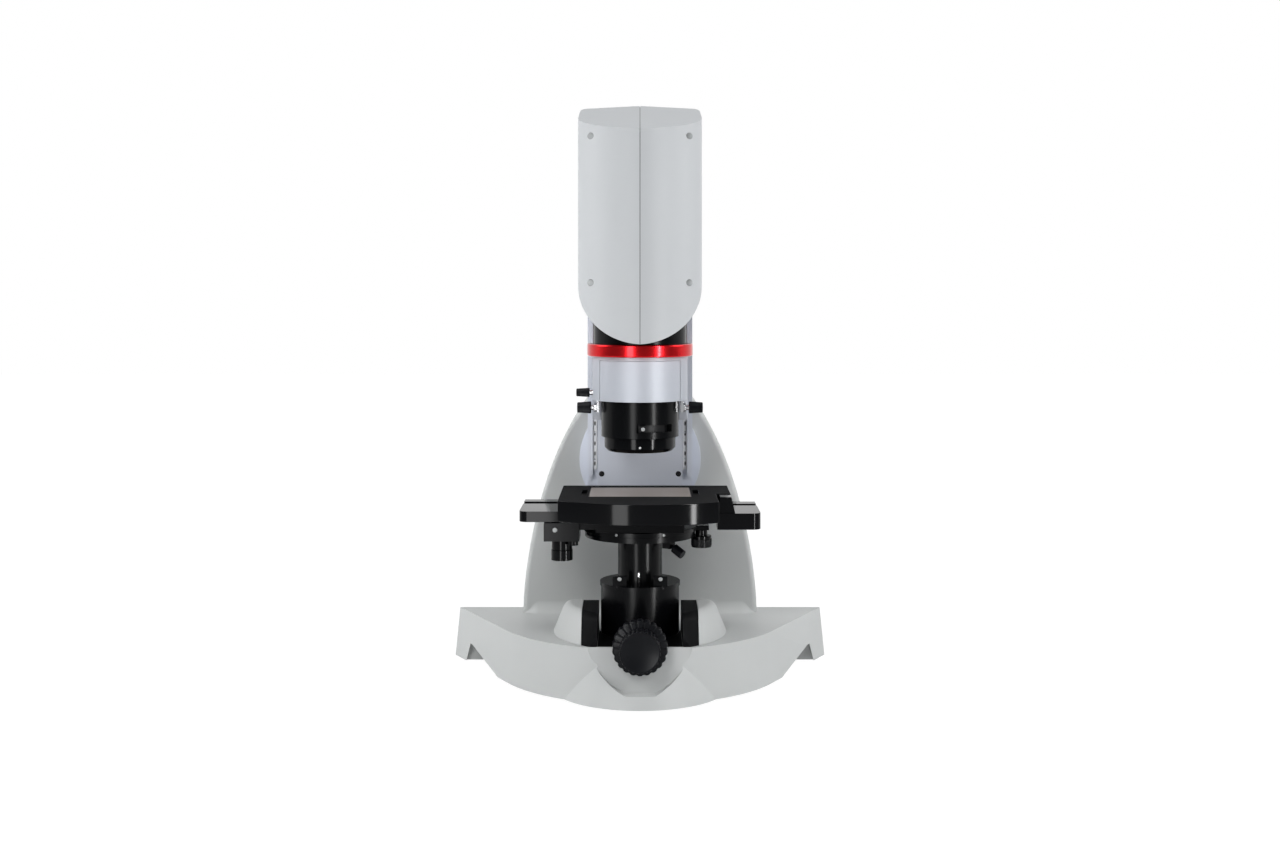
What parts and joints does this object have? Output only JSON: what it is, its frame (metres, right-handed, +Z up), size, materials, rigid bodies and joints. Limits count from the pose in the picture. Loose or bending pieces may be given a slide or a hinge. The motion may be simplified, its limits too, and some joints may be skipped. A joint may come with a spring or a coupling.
{
  "type": "digital microscope",
  "caption": "Bench digital microscope: zoom head on a tilting column, pull-out objective, lifting and turning cross stage, wide splayed base.",
  "frame": {"origin": "centre of the footprint's box, on the table", "axes": "+Z up, -Y is the front with the lift knobs, +X to the viewer's right"},
  "size_m": [0.436, 0.3078, 0.6487],
  "materials": {
    "grey_casting": "satin",
    "pale_cover": "satin",
    "black_metal": "satin",
    "black_knob": "ribbed",
    "black_anodised": "satin anodised",
    "column_aluminium": "satin anodised",
    "silver_aluminium": "fine turned",
    "red_anodised": "gloss anodised",
    "objective_black": "semi-gloss",
    "steel": "ground",
    "bronze": "turned",
    "dark_metal": "satin",
    "socket_plastic": "moulded",
    "circuit_board": "coated",
    "lens_glass": "coated",
    "foot_rubber": "matte"
  },
  "bodies": {
    "root": {"base_casting": "grey_casting", "bottom_cover": "dark_metal", "rubber_feet": "foot_rubber", "collar_cheeks": "grey_casting", "collar_liners": "black_metal", "tower_casting": "grey_casting", "tower_rear_cover": "grey_casting", "rear_panel": "dark_metal", "rear_sockets": "socket_plastic", "control_board": "circuit_board", "tilt_bearing": "bronze", "lift_housing": "black_metal", "lift_cap": "black_metal", "stop_screws": "steel", "shaft_bush": "bronze"},
    "switch": {"power_switch": "black_knob"},
    "column": {"tilt_disc": "column_aluminium", "tilt_shaft": "steel", "tilt_nut": "steel", "column_profile": "column_aluminium", "column_front_plate": "column_aluminium", "column_screws": "dark_metal", "guide_rails": "column_aluminium", "focus_motor": "black_metal"},
    "spindle": {"focus_spindle": "steel"},
    "head": {"focus_carriage": "dark_metal", "head_chassis": "dark_metal", "head_cover_left": "pale_cover", "head_cover_right": "pale_cover", "head_cover_screws": "steel", "optics_tube": "black_metal", "zoom_barrel": "dark_metal", "camera_board": "circuit_board", "red_ring": "red_anodised", "objective_holder": "silver_aluminium", "release_brackets": "steel"},
    "release_left": {"release_button_left": "black_knob"},
    "release_right": {"release_button_right": "black_knob"},
    "filter": {"filter_knob": "black_knob"},
    "objective": {"objective_slide": "silver_aluminium", "objective_barrel": "objective_black", "objective_nose": "objective_black", "objective_lens": "lens_glass"},
    "iris": {"iris_ring": "dark_metal"},
    "lift": {"lift_tube": "black_metal", "lift_rack": "steel", "bearing_disc": "black_metal"},
    "coarse": {"pinion_shaft": "steel", "coarse_knob": "black_knob"},
    "fine": {"fine_knob": "black_knob"},
    "lock": {"lock_screw": "black_knob"},
    "table": {"turntable": "black_metal"},
    "turn_knob": {"rotation_knob": "black_knob"},
    "cross": {"cross_slide": "black_metal", "drive_gearbox": "black_metal"},
    "x_knob": {"x_drive_knob": "black_knob"},
    "y_knob": {"y_drive_knob": "black_knob"},
    "stage": {"stage_plate": "black_anodised", "stage_insert": "black_anodised", "stage_wings": "black_anodised"}
  },
  "joints": [
    {"name": "power_switch_rock", "type": "hinge", "parent": "root", "child": "switch", "pos_m": [-0.03, 0.1419, 0.093], "axis": [1, 0, 0], "range_deg": [0, 8]},
    {"name": "column_tilt", "type": "hinge", "parent": "root", "child": "column", "pos_m": [0, 0.0539, 0.24], "axis": [0, 1, 0], "range_deg": [-57, 57]},
    {"name": "focus_slide", "type": "slide", "parent": "column", "child": "head", "axis": [0, 0, 1], "range_m": [0, 0.06]},
    {"name": "spindle_turn", "type": "hinge", "parent": "column", "child": "spindle", "pos_m": [0, 0.0409, 0.4], "axis": [0, 0, 1], "range_deg": [-5, 2165]},
    {"name": "objective_pull", "type": "slide", "parent": "head", "child": "objective", "axis": [0, -1, 0], "range_m": [0, 0.07]},
    {"name": "iris_turn", "type": "hinge", "parent": "objective", "child": "iris", "pos_m": [0, -0.0341, 0.286], "axis": [0, 0, 1], "range_deg": [0, 45]},
    {"name": "release_left_press", "type": "slide", "parent": "head", "child": "release_left", "axis": [1, 0, 0], "range_m": [0, 0.003], "stiffness_N_per_m": 800},
    {"name": "release_right_press", "type": "slide", "parent": "head", "child": "release_right", "axis": [-1, 0, 0], "range_m": [0, 0.003], "stiffness_N_per_m": 800},
    {"name": "filter_turn", "type": "hinge", "parent": "head", "child": "filter", "pos_m": [-0.06, -0.0341, 0.3225], "axis": [1, 0, 0], "range_deg": [-90, 90]},
    {"name": "stage_lift", "type": "slide", "parent": "root", "child": "lift", "axis": [0, 0, 1], "range_m": [-0.03, 0]},
    {"name": "coarse_turn", "type": "hinge", "parent": "root", "child": "coarse", "pos_m": [0, -0.0941, 0.065], "axis": [0, 1, 0], "range_deg": [-5, 250]},
    {"name": "fine_turn", "type": "hinge", "parent": "root", "child": "fine", "pos_m": [0, -0.1441, 0.065], "axis": [0, 1, 0], "range_deg": [-5, 1235]},
    {"name": "lock_turn", "type": "hinge", "parent": "lift", "child": "lock", "pos_m": [0.03096, -0.05578, 0.16], "axis": [0.7094, -0.4967, -0.5], "range_deg": [0, 180]},
    {"name": "stage_turn", "type": "hinge", "parent": "lift", "child": "table", "pos_m": [0, -0.0341, 0.175], "axis": [0, 0, 1], "range_deg": [-10, 10]},
    {"name": "turn_knob_turn", "type": "hinge", "parent": "table", "child": "turn_knob", "pos_m": [0.0675, -0.0341, 0.16], "axis": [0, 0, 1], "range_deg": [-95, 95]},
    {"name": "y_travel", "type": "slide", "parent": "table", "child": "cross", "axis": [0, -1, 0], "range_m": [0, 0.04]},
    {"name": "y_knob_turn", "type": "hinge", "parent": "cross", "child": "y_knob", "pos_m": [-0.0845, -0.0591, 0.16], "axis": [0, 0, 1], "range_deg": [-5, 465]},
    {"name": "x_travel", "type": "slide", "parent": "cross", "child": "stage", "axis": [1, 0, 0], "range_m": [-0.035, 0.035]},
    {"name": "x_knob_turn", "type": "hinge", "parent": "cross", "child": "x_knob", "pos_m": [-0.0845, -0.0591, 0.15], "axis": [0, 0, 1], "range_deg": [-410, 410]}
  ],
  "couplings": [
    {"joint": "spindle_turn", "follows": "focus_slide", "rad_per_m": 628.32},
    {"joint": "coarse_turn", "follows": "stage_lift", "rad_per_m": -142.86},
    {"joint": "fine_turn", "follows": "stage_lift", "rad_per_m": -714.29},
    {"joint": "turn_knob_turn", "follows": "stage_turn", "ratio": 9.0299},
    {"joint": "y_knob_turn", "follows": "y_travel", "rad_per_m": 200},
    {"joint": "x_knob_turn", "follows": "x_travel", "rad_per_m": 200}
  ]
}
